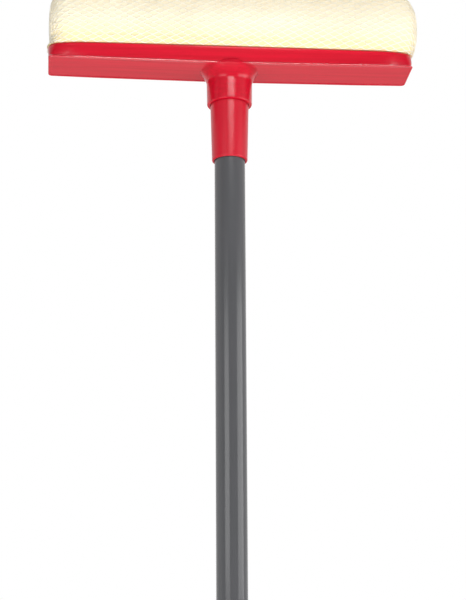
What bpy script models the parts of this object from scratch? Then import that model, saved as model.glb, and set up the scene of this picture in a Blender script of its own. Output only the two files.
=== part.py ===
# Window cleaning tool: a moulded head with a net-covered sponge and a rubber blade, on a steel handle.
# Metres, +Z up. The origin is the middle of the flat end of the handle, and the handle runs up the Z axis.
# The head's long side lies along X, its sponge side faces -Y and its blade points back along +Y.

import math

import bpy
import bmesh
from mathutils import Matrix, Vector

# Fits that every piece shares
SEAT_GAP = 0.0003
CUT_OVERRUN = 0.002
UNION_BITE = 0.0006

# Handle tube
TUBE_DIAMETER = 0.0208
TUBE_WALL = 0.0006
TUBE_LENGTH = 0.800

# End cap with its hanging eye
CAP_TAB_HEIGHT = 0.026
CAP_TAB_WIDTH = 0.021
CAP_TAB_THICKNESS = 0.0090
CAP_FLAT_SHARE = 1.8
CAP_TIP_WIDTH = 0.0125
CAP_TIP_THICKNESS = 0.0066
CAP_FLOOR = 0.004
CAP_GRIP_LENGTH = 0.032
CAP_WALL = 0.0016
EYE_WIDTH = 0.0090
EYE_HEIGHT = 0.0125
EYE_CENTRE_HEIGHT = 0.0135

# Tapered sleeve between the tube and the head's socket
SLEEVE_LENGTH = 0.0407
SLEEVE_MOUTH_DIAMETER = 0.0243
SLEEVE_TOP_DIAMETER = 0.0262
SLEEVE_LIP = 0.0007
SPIGOT_LENGTH = 0.0285
SPIGOT_TOP_DIAMETER = 0.0254
SPIGOT_WALL = 0.0022
SPIGOT_CHAMFER = 0.0010
TUBE_SEAT_DEPTH = 0.055
SLEEVE_PARTITION = 0.0026

# Flared socket under the head
SOCKET_LENGTH = 0.0243
SOCKET_DIAMETER = 0.0308
SOCKET_ROOT_DIAMETER = 0.0312
SOCKET_LIP = 0.0009
FLARE_DIAMETER = 0.0400
FLARE_LENGTH = 0.0090
FLARE_HOLLOW_SHARE = 1.7
FLARE_RISE = 0.0050
SOCKET_ROOF = 0.0026

# Tray of the head
HEAD_LENGTH = 0.2500
UNDERSIDE_FRONT = 0.0180
UNDERSIDE_BACK = 0.0165
TRAY_HEIGHT = 0.0107
FRONT_FLARE = 0.0045
BACK_FLARE = 0.0012
FRONT_FLARE_END_SHARE = 0.05
COVE_SHARE = 1.4
UNDERSIDE_BOW = 0.0012
TRAY_WALL = 0.0020
TRAY_FLOOR = 0.0024
FOOT_CORNER = 0.0025
RIM_CORNER = 0.0070
SHOULDER_LENGTH = 0.0200
SHOULDER_RETREAT = 0.0030
SHOULDER_HOLLOW_SHARE = 1.3
END_DRAFT = 0.0006
END_TAPER = 0.0009
BEAD_RADIUS = 0.0008
BEAD_PROUD = 0.0004

# Ribs and peg bosses in the tray
RIB_THICKNESS = 0.0016
RIB_PITCH = 0.0260
RIB_CLEAR_OF_SOCKET = 0.0180
BOSS_DIAMETER = 0.0085
BOSS_PLACES = (0.0900, 0.0380)

# Plate under the sponge
PLATE_THICKNESS = 0.0025
PLATE_CORNER = 0.0060
PEG_DIAMETER = 0.0042
PEG_LENGTH = 0.0028

# Sponge and its net cover
SPONGE_LENGTH = 0.2550
SPONGE_DEPTH = 0.0500
SPONGE_HEIGHT = 0.0480
SPONGE_SHIFT_X = 0.0022
SPONGE_SHIFT_Y = -0.0020
SPONGE_CORNER = 0.0120
SPONGE_END_ROUND = 0.0200
NET_THICKNESS = 0.0008
# Each level of the sponge, as shares: its height, its depth, how far its ends draw in, and how far its
# front follows the tray's bowed rim
SPONGE_LEVEL_SHARES = (
    (0.000, 0.50, 0.45, 1.0),
    (0.028, 0.52, 0.44, 1.0),
    (0.048, 0.66, 0.20, 0.9),
    (0.080, 0.80, 0.09, 0.6),
    (0.130, 0.89, 0.04, 0.4),
    (0.210, 0.955, 0.01, 0.2),
    (0.320, 0.99, 0.00, 0.0),
    (0.450, 1.00, 0.00, 0.0),
    (0.590, 0.985, 0.03, 0.0),
    (0.720, 0.93, 0.10, 0.0),
    (0.840, 0.83, 0.22, 0.0),
    (0.920, 0.70, 0.38, 0.0),
    (0.975, 0.50, 0.60, 0.0),
    (1.000, 0.26, 0.86, 0.0),
)

# Rear jaw, with the channel and the rubber blade in it
JAW_LENGTH = 0.2400
JAW_ANGLE = math.radians(45)
JAW_ROOT_BACK = 0.0220
JAW_ROOT_HEIGHT = 0.0085
JAW_DEPTH = 0.0130
JAW_WALL = 0.0018
JAW_FLOOR = 0.0030
JAW_CHEEK = 0.0020
JAW_EDGE = 0.0007
CHANNEL_THICKNESS = 0.0054
CHANNEL_DEPTH = 0.0140
CHANNEL_SHEET = 0.0007
CHANNEL_MOUTH = 0.0024
BULB_LENGTH = 0.0050
NECK_THICKNESS = 0.0017
BLADE_REACH = 0.0240
BLADE_THICKNESS = 0.0021
BLADE_EDGE_THICKNESS = 0.0013
BLADE_OVERHANG = 0.0015
SCREW_PLACE_SHARES = (-1 / 3, 0.0, 1 / 3)
SCREW_NAMES = ("left", "middle", "right")
SCREW_SHANK = 0.0026
SCREW_HEAD = 0.0062
SCREW_HEAD_HEIGHT = 0.0019
SCREW_DEPTH_SHARE = 0.32

# Facet counts
ROUND_STEPS = 48
SMALL_STEPS = 14
CORNER_STEPS = 5
SHOULDER_STEPS = 2
BEAD_STEPS = 7
SIDE_STEPS = 14
CURVE_STEPS = 6
SHARP_ANGLE = math.radians(32)

# Sizes and places worked out from the ones above
TUBE_RADIUS = TUBE_DIAMETER / 2
TUBE_SEAT_RADIUS = TUBE_RADIUS + SEAT_GAP
TUBE_FOOT = CAP_TAB_HEIGHT + CAP_FLOOR + SEAT_GAP
TUBE_TOP = TUBE_FOOT + TUBE_LENGTH
SLEEVE_MOUTH_HEIGHT = TUBE_TOP + SEAT_GAP - TUBE_SEAT_DEPTH
HEAD_HEIGHT = SLEEVE_MOUTH_HEIGHT + SLEEVE_LENGTH + SOCKET_LENGTH
HALF_HEAD = HEAD_LENGTH / 2
SPIGOT_TOP = SPIGOT_LENGTH - SOCKET_LENGTH
SOCKET_CEILING = SPIGOT_TOP + SEAT_GAP
RIB_TOP = SOCKET_CEILING + SOCKET_ROOF
PLATE_FOOT = RIB_TOP + SEAT_GAP
SPONGE_FOOT = PLATE_FOOT + PLATE_THICKNESS + SEAT_GAP
JAW_THICKNESS = CHANNEL_THICKNESS + 2 * (SEAT_GAP + JAW_WALL)
CHANNEL_FOOT = JAW_FLOOR + SEAT_GAP
CHANNEL_MOUTH_REACH = CHANNEL_FOOT + CHANNEL_DEPTH
BLADE_LEFT = -JAW_LENGTH / 2 + JAW_CHEEK + SEAT_GAP
BLADE_RIGHT = JAW_LENGTH / 2 + BLADE_OVERHANG
SCREW_PLACES = [share * JAW_LENGTH for share in SCREW_PLACE_SHARES]


def clear_scene():
    for old in list(bpy.data.objects):
        bpy.data.objects.remove(old, do_unlink=True)


def make_material(name, colour, roughness, metallic=0.0):
    material = bpy.data.materials.new(name)
    material.use_nodes = True
    shader = material.node_tree.nodes["Principled BSDF"]
    shader.inputs["Base Color"].default_value = (*colour, 1.0)
    shader.inputs["Roughness"].default_value = roughness
    shader.inputs["Metallic"].default_value = metallic
    material.diffuse_color = (*colour, 1.0)
    return material


def add_empty(name, place, parent=None, turn=0.0):
    empty = bpy.data.objects.new(name, None)
    bpy.context.scene.collection.objects.link(empty)
    empty.parent = parent
    empty.location = place
    empty.rotation_euler = (turn, 0.0, 0.0)
    return empty


def add_object(name, bm, parent, material=None):
    # Faces out, round pieces smooth and their real edges sharp
    bmesh.ops.recalc_face_normals(bm, faces=bm.faces)
    mesh = bpy.data.meshes.new(name)
    bm.to_mesh(mesh)
    bm.free()
    mesh.shade_smooth()
    mesh.set_sharp_from_angle(angle=SHARP_ANGLE)
    item = bpy.data.objects.new(name, mesh)
    bpy.context.scene.collection.objects.link(item)
    item.parent = parent
    if material:
        mesh.materials.append(material)
    return item


def add_helper(name, bm, parent):
    # A form that only joins or cuts another piece
    item = add_object(name, bm, parent)
    item.hide_render = True
    item.display_type = "WIRE"
    return item


def combine(item, helper, operation):
    modifier = item.modifiers.new(f"{operation.lower()} {helper.name}", "BOOLEAN")
    modifier.operation = operation
    modifier.solver = "EXACT"
    modifier.object = helper


def skin(bm, rings, closed=False, strips=False):
    # Joins rings of equal counts with quads. The two ends meet, or get caps: whole ones, or in strips that
    # pair the front of the ring with its back, which a bowed ring needs.
    loops = [[bm.verts.new(point) for point in ring] for ring in rings]
    count = len(loops[0])
    pairs = list(zip(loops, loops[1:]))
    if closed:
        pairs.append((loops[-1], loops[0]))
    for low, high in pairs:
        for i in range(count):
            j = (i + 1) % count
            bm.faces.new((low[i], low[j], high[j], high[i]))
    if closed:
        return
    for loop in (loops[0], loops[-1]):
        if not strips:
            bm.faces.new(loop)
            continue
        for i in range(count // 2 - 1):
            bm.faces.new((loop[i], loop[i + 1], loop[count - 2 - i], loop[count - 1 - i]))


def circle(radius, height, steps=ROUND_STEPS, centre=(0.0, 0.0)):
    turns = [2 * math.pi * i / steps for i in range(steps)]
    return [(centre[0] + radius * math.cos(a), centre[1] + radius * math.sin(a), height) for a in turns]


def turned(bm, profile, steps=ROUND_STEPS, centre=(0.0, 0.0), closed=False):
    skin(bm, [circle(radius, height, steps, centre) for radius, height in profile], closed)


def extruded(bm, section, left, right):
    # A section in Y and Z, drawn out along X
    skin(bm, [[(x, y, z) for y, z in section] for x in (left, right)])


def outline(half_length, front, back, corner, height, bow=0.0, front_bow=0.0, shift=0.0, shoulder=0.0):
    # A level of a long round-cornered form: the front from left to right, then the back from right to left.
    # bow lifts its ends, and front_bow and shoulder draw the ends of its front edge back.
    stations = []
    for i in range(CORNER_STEPS):
        angle = math.pi / 2 * i / CORNER_STEPS
        stations.append((corner * (1 - math.cos(angle)) - half_length, corner * (1 - math.sin(angle))))
    for i in range(SHOULDER_STEPS):
        stations.append((corner + (SHOULDER_LENGTH - corner) * i / SHOULDER_STEPS - half_length, 0.0))
    end = [(-x, retreat) for x, retreat in reversed(stations)]
    straight = half_length - SHOULDER_LENGTH
    for i in range(SIDE_STEPS + 1):
        stations.append((straight * (2 * i / SIDE_STEPS - 1), 0.0))
    stations += end
    ring = []
    for x, retreat in stations:
        share = (x / half_length) ** 2
        past = max(0.0, (abs(x) - straight) / SHOULDER_LENGTH) ** SHOULDER_HOLLOW_SHARE
        ring.append((x + shift, retreat - front + front_bow * share + shoulder * past, height + bow * share))
    for x, retreat in reversed(stations):
        narrowed = x * (1 - END_TAPER / HALF_HEAD)
        ring.append((narrowed + shift, back - retreat, height + bow * (x / half_length) ** 2))
    return ring


def tray_ring(rise, inset, height):
    # rise runs from 0 at the underside's edge to 1 at the rim, and inset draws the ring in
    cove = rise ** COVE_SHARE
    half_length = HALF_HEAD - END_DRAFT * (1 - rise) - inset
    front = UNDERSIDE_FRONT + FRONT_FLARE * cove - inset
    back = UNDERSIDE_BACK + BACK_FLARE * cove - inset
    corner = FOOT_CORNER + (RIM_CORNER - FOOT_CORNER) * rise - min(inset, FOOT_CORNER / 2)
    draw_back = FRONT_FLARE * cove * (1 - FRONT_FLARE_END_SHARE)
    shoulder = SHOULDER_RETREAT * cove
    return outline(half_length, front, back, corner, height, UNDERSIDE_BOW, draw_back, shoulder=shoulder)


def tray_form(bm):
    # One skin: underside, a round bead that stands proud of its edge, coved walls, rim, inner walls and floor
    rings = []
    middle = BEAD_RADIUS - BEAD_PROUD
    meets = math.acos(middle / BEAD_RADIUS)
    start = -math.pi / 2 - meets
    for i in range(BEAD_STEPS + 1):
        angle = start + (meets - start) * i / BEAD_STEPS
        inset = middle - BEAD_RADIUS * math.cos(angle)
        rings.append(tray_ring(0.0, inset, middle + BEAD_RADIUS * math.sin(angle)))
    for i in range(1, CURVE_STEPS):
        rise = i / CURVE_STEPS
        rings.append(tray_ring(rise, 0.0, TRAY_HEIGHT * rise))
    rings += [
        tray_ring(1.0, 0.0, TRAY_HEIGHT - TRAY_WALL * 0.4),
        tray_ring(1.0, TRAY_WALL * 0.2, TRAY_HEIGHT - TRAY_WALL * 0.1),
        tray_ring(1.0, TRAY_WALL * 0.5, TRAY_HEIGHT),
        tray_ring(1.0, TRAY_WALL * 0.85, TRAY_HEIGHT - TRAY_WALL * 0.15),
        tray_ring(1.0, TRAY_WALL, TRAY_HEIGHT - TRAY_WALL * 0.4),
        tray_ring(0.5, TRAY_WALL, (TRAY_HEIGHT + TRAY_FLOOR) / 2),
        tray_ring(0.2, TRAY_WALL, TRAY_FLOOR),
    ]
    skin(bm, rings, strips=True)


def socket_form(bm):
    # Turned outside of the socket: boss in the tray, flare under it, barrel and round lip
    root = SOCKET_ROOT_DIAMETER / 2
    flare = FLARE_DIAMETER / 2
    mouth = SOCKET_DIAMETER / 2
    profile = [(root, RIB_TOP)]
    for i in range(CURVE_STEPS):
        angle = math.pi / 2 * i / CURVE_STEPS
        profile.append((root + (flare - root) * math.sin(angle), FLARE_RISE * math.cos(angle)))
    for i in range(CURVE_STEPS + 1):
        share = i / CURVE_STEPS
        profile.append((root + (flare - root) * (1 - share) ** FLARE_HOLLOW_SHARE, -FLARE_LENGTH * share))
    profile += [
        (mouth, SOCKET_LIP - SOCKET_LENGTH),
        (mouth - SOCKET_LIP * 0.3, SOCKET_LIP * 0.3 - SOCKET_LENGTH),
        (mouth - SOCKET_LIP, -SOCKET_LENGTH),
    ]
    turned(bm, profile)


def socket_bore(bm):
    # Follows the spigot with the seat gap all round, and runs out of the mouth
    mouth = SLEEVE_TOP_DIAMETER / 2 + SEAT_GAP
    top = SPIGOT_TOP_DIAMETER / 2 + SEAT_GAP
    turned(bm, [(top, SOCKET_CEILING), (mouth, -SOCKET_LENGTH), (mouth, -SOCKET_LENGTH - CUT_OVERRUN)])


def jaw_point(reach, offset):
    # A place in the jaw's own directions, in the head's Y and Z
    along = Vector((math.cos(JAW_ANGLE), math.sin(JAW_ANGLE)))
    across = Vector((-math.sin(JAW_ANGLE), math.cos(JAW_ANGLE)))
    return tuple(Vector((JAW_ROOT_BACK, JAW_ROOT_HEIGHT)) + reach * along + offset * across)


def jaw_form(bm):
    # A beam along the tray's back wall, whose web curves out of the wall's foot
    half = JAW_THICKNESS / 2
    wall = UNDERSIDE_BACK - TRAY_WALL / 2
    foot = Vector((wall, JAW_ROOT_HEIGHT * 0.2))
    lower = Vector(jaw_point(JAW_FLOOR, -half))
    middle = Vector((lower.x * 0.62 + foot.x * 0.38, lower.y * 0.42 + foot.y * 0.58))
    section = [tuple(foot), tuple(middle), tuple(lower)]
    section += [jaw_point(JAW_DEPTH, -half), jaw_point(JAW_DEPTH, half), jaw_point(0.0, half)]
    section.append((wall, TRAY_HEIGHT - TRAY_WALL))
    extruded(bm, section, -JAW_LENGTH / 2, JAW_LENGTH / 2)


def jaw_slot(bm):
    # Open at the right end, closed by a cheek at the left one
    half = CHANNEL_THICKNESS / 2 + SEAT_GAP
    reach = JAW_DEPTH + CUT_OVERRUN
    section = [(JAW_FLOOR, -half), (reach, -half), (reach, half), (JAW_FLOOR, half)]
    extruded(bm, section, -JAW_LENGTH / 2 + JAW_CHEEK, JAW_LENGTH / 2 + CUT_OVERRUN)


def screw_reach():
    return CHANNEL_FOOT + CHANNEL_DEPTH * SCREW_DEPTH_SHARE


def screw_holes(bm):
    # Through the jaw's lower wall and the channel's lower side
    radius = SCREW_SHANK / 2 + SEAT_GAP
    profile = [(radius, -JAW_THICKNESS / 2 - CUT_OVERRUN), (radius, 0.0)]
    for x in SCREW_PLACES:
        turned(bm, profile, SMALL_STEPS, (x, screw_reach()))


def box(bm, low, high):
    ring = [(low[0], low[1]), (high[0], low[1]), (high[0], high[1]), (low[0], high[1])]
    skin(bm, [[(x, y, z) for x, y in ring] for z in (low[2], high[2])])


def tray_ribs(bm):
    # Cross ribs that carry the plate, at an even pitch on both sides of the socket
    front = UNDERSIDE_FRONT - TRAY_WALL + UNION_BITE
    back = UNDERSIDE_BACK - TRAY_WALL + UNION_BITE
    x = RIB_CLEAR_OF_SOCKET + RIB_THICKNESS / 2
    while x < HALF_HEAD - TRAY_WALL - RIB_THICKNESS:
        for side in (-x, x):
            low = (side - RIB_THICKNESS / 2, -front, TRAY_FLOOR - UNION_BITE)
            box(bm, low, (side + RIB_THICKNESS / 2, back, RIB_TOP))
        x += RIB_PITCH


def peg_places():
    return [side * place for place in BOSS_PLACES for side in (-1, 1)]


def peg_bosses(bm):
    radius = BOSS_DIAMETER / 2
    for x in peg_places():
        turned(bm, [(radius, TRAY_FLOOR - UNION_BITE), (radius, RIB_TOP)], SMALL_STEPS, (x, 0.0))


def peg_holes(bm):
    radius = PEG_DIAMETER / 2 + SEAT_GAP
    foot = PLATE_FOOT - PEG_LENGTH - SEAT_GAP
    for x in peg_places():
        turned(bm, [(radius, foot), (radius, RIB_TOP + CUT_OVERRUN)], SMALL_STEPS, (x, 0.0))


def helper_from(name, make, parent):
    bm = bmesh.new()
    make(bm)
    return add_helper(name, bm, parent)


def make_head_body(head, blade_seat, material):
    bm = bmesh.new()
    tray_form(bm)
    body = add_object("head_body", bm, head, material)
    combine(body, helper_from("jaw_form", jaw_form, head), "UNION")
    combine(body, helper_from("socket_form", socket_form, head), "UNION")
    combine(body, helper_from("tray_ribs", tray_ribs, head), "UNION")
    combine(body, helper_from("peg_bosses", peg_bosses, head), "UNION")
    combine(body, helper_from("peg_holes", peg_holes, head), "DIFFERENCE")
    combine(body, helper_from("socket_bore", socket_bore, head), "DIFFERENCE")
    combine(body, helper_from("jaw_slot", jaw_slot, blade_seat), "DIFFERENCE")
    combine(body, bpy.data.objects["screw_holes"], "DIFFERENCE")
    return body


def make_blade_channel(blade_seat, material):
    # Folded sheet with its lips turned in towards each other at the mouth
    outer = CHANNEL_THICKNESS / 2
    inner = outer - CHANNEL_SHEET
    lip = CHANNEL_MOUTH / 2
    foot = CHANNEL_FOOT
    mouth = CHANNEL_MOUTH_REACH
    upper = [(foot, outer), (mouth, outer), (mouth, lip), (mouth - CHANNEL_SHEET, lip)]
    upper += [(mouth - CHANNEL_SHEET, inner), (foot + CHANNEL_SHEET, inner)]
    section = upper + [(y, -z) for y, z in reversed(upper)]
    bm = bmesh.new()
    extruded(bm, section, BLADE_LEFT, JAW_LENGTH / 2)
    channel = add_object("blade_channel", bm, blade_seat, material)
    combine(channel, bpy.data.objects["screw_holes"], "DIFFERENCE")
    return channel


def make_squeegee_blade(blade_seat, material):
    # Bulb behind the channel's lips, neck between them, and a lip that thins to its wiping edge
    mouth = CHANNEL_MOUTH_REACH
    bulb = CHANNEL_THICKNESS / 2 - CHANNEL_SHEET - SEAT_GAP
    neck = NECK_THICKNESS / 2
    shoulder = mouth + SEAT_GAP * 2
    bulb_end = mouth - CHANNEL_SHEET - SEAT_GAP
    upper = [(bulb_end - BULB_LENGTH, bulb * 0.7), (bulb_end - BULB_LENGTH * 0.85, bulb), (bulb_end, bulb)]
    upper += [(bulb_end, neck), (shoulder, neck), (shoulder + NECK_THICKNESS, BLADE_THICKNESS / 2)]
    upper.append((mouth + BLADE_REACH * 0.55, BLADE_THICKNESS / 2))
    upper.append((mouth + BLADE_REACH, BLADE_EDGE_THICKNESS / 2))
    section = upper + [(y, -z) for y, z in reversed(upper)]
    bm = bmesh.new()
    extruded(bm, section, BLADE_LEFT, BLADE_RIGHT)
    return add_object("squeegee_blade", bm, blade_seat, material)


def make_channel_screw(name, x, blade_seat, material):
    # Pan head on the jaw's lower side, whose shank ends in the channel behind the bulb
    surface = -JAW_THICKNESS / 2 - SEAT_GAP
    head = SCREW_HEAD / 2
    shank = SCREW_SHANK / 2
    tip = -CHANNEL_THICKNESS / 2 + CHANNEL_SHEET + SCREW_SHANK / 2
    profile = [(head * 0.45, surface - SCREW_HEAD_HEIGHT), (head * 0.8, surface - SCREW_HEAD_HEIGHT * 0.8)]
    profile += [(head, surface - SCREW_HEAD_HEIGHT * 0.3), (head, surface), (shank, surface)]
    profile += [(shank, tip - SCREW_SHANK / 4), (shank * 0.5, tip)]
    bm = bmesh.new()
    turned(bm, profile, SMALL_STEPS)
    screw = add_object(name, bm, blade_seat, material)
    screw.location = (x, screw_reach(), 0.0)
    return screw


def make_sponge_plate(carrier, material):
    # Flat plate that rests on the ribs, with pegs that press into the bosses
    half_length = HALF_HEAD - END_DRAFT - TRAY_WALL - SEAT_GAP * 2
    front = UNDERSIDE_FRONT - TRAY_WALL - SEAT_GAP
    back = UNDERSIDE_BACK - TRAY_WALL - SEAT_GAP
    bm = bmesh.new()
    rings = []
    for height in (0.0, PLATE_THICKNESS):
        rings.append(outline(half_length, front, back, PLATE_CORNER, height, shoulder=SHOULDER_RETREAT))
    skin(bm, rings, strips=True)
    plate = add_object("sponge_plate", bm, carrier, material)
    pegs = bmesh.new()
    peg = PEG_DIAMETER / 2
    for x in peg_places():
        profile = [(peg * 0.7, -PEG_LENGTH), (peg, -PEG_LENGTH + peg * 0.5), (peg, PLATE_THICKNESS / 2)]
        turned(pegs, profile, SMALL_STEPS, (x, 0.0))
    combine(plate, add_helper("plate_pegs", pegs, carrier), "UNION")
    return plate


def sponge_levels(offset):
    # Rings of the sponge's surface, moved out square to its side profile by offset
    levels = []
    for height, depth, ends, follow in SPONGE_LEVEL_SHARES:
        levels.append((height * SPONGE_HEIGHT, depth * SPONGE_DEPTH / 2, ends * SPONGE_END_ROUND, follow))
    rings = []
    for i, (height, depth, ends, follow) in enumerate(levels):
        below = levels[max(i - 1, 0)]
        above = levels[min(i + 1, len(levels) - 1)]
        rise = Vector((above[1] - below[1], above[0] - below[0])).normalized()
        out = offset * rise.y
        up = -offset * rise.x if i else 0.0
        half_length = SPONGE_LENGTH / 2 - ends + out
        corner = min(SPONGE_CORNER, depth * 0.8) + out
        front_bow = follow * FRONT_FLARE * (1 - FRONT_FLARE_END_SHARE)
        front = depth - SPONGE_SHIFT_Y + front_bow + out
        back = depth + SPONGE_SHIFT_Y + out
        bow = UNDERSIDE_BOW if i else 0.0
        shoulder = follow * SHOULDER_RETREAT
        sides = (half_length, front, back, corner)
        rings.append(outline(*sides, height + up, bow, front_bow, SPONGE_SHIFT_X, shoulder))
    return rings


def make_sponge_core(carrier, material):
    bm = bmesh.new()
    skin(bm, sponge_levels(0.0), strips=True)
    return add_object("sponge_core", bm, carrier, material)


def make_sponge_net(carrier, material):
    # A skin round the sponge, open at its foot
    inner = sponge_levels(SEAT_GAP)
    outer = sponge_levels(SEAT_GAP + NET_THICKNESS)
    bm = bmesh.new()
    skin(bm, outer[::-1] + inner, strips=True)
    return add_object("sponge_net", bm, carrier, material)


def make_handle_adapter(handle, material):
    # Turned sleeve, open below for the tube and cored out above its partition
    mouth = SLEEVE_MOUTH_DIAMETER / 2
    widest = SLEEVE_TOP_DIAMETER / 2
    spigot = SPIGOT_TOP_DIAMETER / 2
    top = SLEEVE_LENGTH + SPIGOT_LENGTH
    core = spigot - SPIGOT_WALL
    ceiling = TUBE_SEAT_DEPTH + SLEEVE_PARTITION
    profile = [(core, ceiling), (core, top), (spigot - SPIGOT_CHAMFER, top), (spigot, top - SPIGOT_CHAMFER)]
    profile += [(widest, SLEEVE_LENGTH), (mouth, SLEEVE_LIP * 1.5)]
    profile.append((mouth - SLEEVE_LIP * 0.3, SLEEVE_LIP * 0.4))
    profile += [(mouth - SLEEVE_LIP, 0.0), (TUBE_SEAT_RADIUS, 0.0), (TUBE_SEAT_RADIUS, TUBE_SEAT_DEPTH)]
    bm = bmesh.new()
    turned(bm, profile)
    adapter = add_object("handle_adapter", bm, handle, material)
    adapter.location.z = SLEEVE_MOUTH_HEIGHT
    return adapter


def make_handle_tube(handle, material):
    inner = TUBE_RADIUS - TUBE_WALL
    profile = [(inner, 0.0), (inner, TUBE_LENGTH), (TUBE_RADIUS, TUBE_LENGTH), (TUBE_RADIUS, 0.0)]
    bm = bmesh.new()
    turned(bm, profile, closed=True)
    tube = add_object("handle_tube", bm, handle, material)
    tube.location.z = TUBE_FOOT
    return tube


def oval(width, thickness, height, flat_share):
    # A round ring squeezed to a width and a thickness. A flat share over 1 cuts its two sides flat.
    ring = []
    for x, y, z in circle(1.0, height):
        ring.append((x * width / 2, max(-1.0, min(1.0, y * flat_share)) * thickness / 2, z))
    return ring


def eye_cutter(bm):
    # A long hole with round ends, through the tab from front to back
    radius = EYE_WIDTH / 2
    straight = EYE_HEIGHT / 2 - radius
    section = []
    for i in range(SMALL_STEPS * 2):
        angle = 2 * math.pi * (i + 0.5) / (SMALL_STEPS * 2)
        lift = straight if math.sin(angle) > 0 else -straight
        section.append((radius * math.cos(angle), EYE_CENTRE_HEIGHT + radius * math.sin(angle) + lift))
    reach = CAP_TAB_THICKNESS + CUT_OVERRUN
    skin(bm, [[(x, y, z) for x, z in section] for y in (-reach, reach)])


def make_end_cap(handle, material):
    # A flat tab with the eye, which swells into a round cup over the tube
    grip = 2 * (TUBE_SEAT_RADIUS + CAP_WALL)
    floor = CAP_TAB_HEIGHT + CAP_FLOOR
    mouth = floor + CAP_GRIP_LENGTH
    tip_round = (CAP_TAB_WIDTH - CAP_TIP_WIDTH) / 2
    rings = []
    for i in range(CURVE_STEPS + 1):
        share = math.sin(math.pi / 2 * i / CURVE_STEPS)
        rise = 1 - math.cos(math.pi / 2 * i / CURVE_STEPS)
        width = CAP_TIP_WIDTH + (CAP_TAB_WIDTH - CAP_TIP_WIDTH) * share
        thickness = CAP_TIP_THICKNESS + (CAP_TAB_THICKNESS - CAP_TIP_THICKNESS) * share
        rings.append(oval(width, thickness, tip_round * rise, CAP_FLAT_SHARE))
    start = EYE_CENTRE_HEIGHT + EYE_HEIGHT / 2
    for i in range(CURVE_STEPS + 1):
        share = i / CURVE_STEPS
        ease = share * share * (3 - 2 * share)
        width = CAP_TAB_WIDTH + (grip - CAP_TAB_WIDTH) * ease
        thickness = CAP_TAB_THICKNESS + (grip - CAP_TAB_THICKNESS) * ease
        flat = CAP_FLAT_SHARE + (1 - CAP_FLAT_SHARE) * ease
        rings.append(oval(width, thickness, start + (floor + CAP_WALL - start) * share, flat))
    rings += [circle(grip / 2, mouth - CAP_WALL), circle(grip / 2 - CAP_WALL * 0.4, mouth)]
    rings += [circle(TUBE_SEAT_RADIUS, mouth), circle(TUBE_SEAT_RADIUS, floor)]
    bm = bmesh.new()
    skin(bm, rings)
    cap = add_object("end_cap", bm, handle, material)
    combine(cap, helper_from("eye_cutter", eye_cutter, handle), "DIFFERENCE")
    return cap


def build():
    clear_scene()
    red_plastic = make_material("red_plastic", (0.70, 0.012, 0.022), 0.30)
    red_sleeve = make_material("red_sleeve_plastic", (0.68, 0.022, 0.040), 0.38)
    grey_coating = make_material("grey_coated_steel", (0.108, 0.108, 0.112), 0.42, 0.1)
    red_cap = make_material("red_cap_plastic", (0.66, 0.014, 0.026), 0.36)
    white_plastic = make_material("white_plate_plastic", (0.78, 0.78, 0.76), 0.45)
    cream_foam = make_material("cream_foam", (0.90, 0.80, 0.52), 0.95)
    cream_net = make_material("cream_net", (0.93, 0.88, 0.70), 0.80)
    zinc_sheet = make_material("zinc_sheet", (0.62, 0.63, 0.65), 0.35, 1.0)
    screw_steel = make_material("screw_steel", (0.66, 0.66, 0.67), 0.30, 1.0)
    black_rubber = make_material("black_rubber", (0.015, 0.015, 0.016), 0.60)

    handle = add_empty("handle", (0.0, 0.0, 0.0))
    head = add_empty("head", (0.0, 0.0, HEAD_HEIGHT))
    carrier = add_empty("sponge_carrier", (0.0, 0.0, PLATE_FOOT), head)
    blade_seat = add_empty("blade_seat", (0.0, JAW_ROOT_BACK, JAW_ROOT_HEIGHT), head, JAW_ANGLE)
    sponge_seat = add_empty("sponge_seat", (0.0, 0.0, SPONGE_FOOT - PLATE_FOOT), carrier)

    make_handle_tube(handle, grey_coating)
    make_handle_adapter(handle, red_sleeve)
    make_end_cap(handle, red_cap)
    helper_from("screw_holes", screw_holes, blade_seat)
    make_head_body(head, blade_seat, red_plastic)
    make_blade_channel(blade_seat, zinc_sheet)
    make_squeegee_blade(blade_seat, black_rubber)
    for side, x in zip(SCREW_NAMES, SCREW_PLACES):
        make_channel_screw(f"channel_screw_{side}", x, blade_seat, screw_steel)
    make_sponge_plate(carrier, white_plastic)
    make_sponge_core(sponge_seat, cream_foam)
    make_sponge_net(sponge_seat, cream_net)


build()
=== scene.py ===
# Window washing tool: looks for the moulded head, the net-covered sponge, the rubber blade and the handle.
import math

import bmesh
import bpy
import numpy as np
from mathutils import Matrix, Vector, noise
from mathutils.bvhtree import BVHTree


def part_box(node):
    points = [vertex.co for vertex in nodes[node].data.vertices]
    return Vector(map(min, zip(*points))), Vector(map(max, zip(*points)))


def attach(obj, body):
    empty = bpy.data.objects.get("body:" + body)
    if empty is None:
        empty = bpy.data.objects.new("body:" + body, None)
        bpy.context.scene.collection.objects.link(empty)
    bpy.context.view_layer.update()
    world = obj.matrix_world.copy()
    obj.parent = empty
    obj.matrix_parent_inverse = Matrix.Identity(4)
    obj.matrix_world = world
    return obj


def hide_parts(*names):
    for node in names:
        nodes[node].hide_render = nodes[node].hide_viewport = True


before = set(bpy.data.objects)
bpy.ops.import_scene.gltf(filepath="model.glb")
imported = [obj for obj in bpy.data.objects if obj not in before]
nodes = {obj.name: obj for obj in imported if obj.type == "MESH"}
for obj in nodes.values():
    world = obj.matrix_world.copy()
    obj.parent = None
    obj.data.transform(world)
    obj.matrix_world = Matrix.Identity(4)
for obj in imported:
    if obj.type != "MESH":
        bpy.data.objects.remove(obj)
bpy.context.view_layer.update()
mm = 0.001  # metres in a millimetre
print("frame loaded")

headLow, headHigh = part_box("head_body")
foamLow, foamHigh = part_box("sponge_core")


# Small tools

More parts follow.
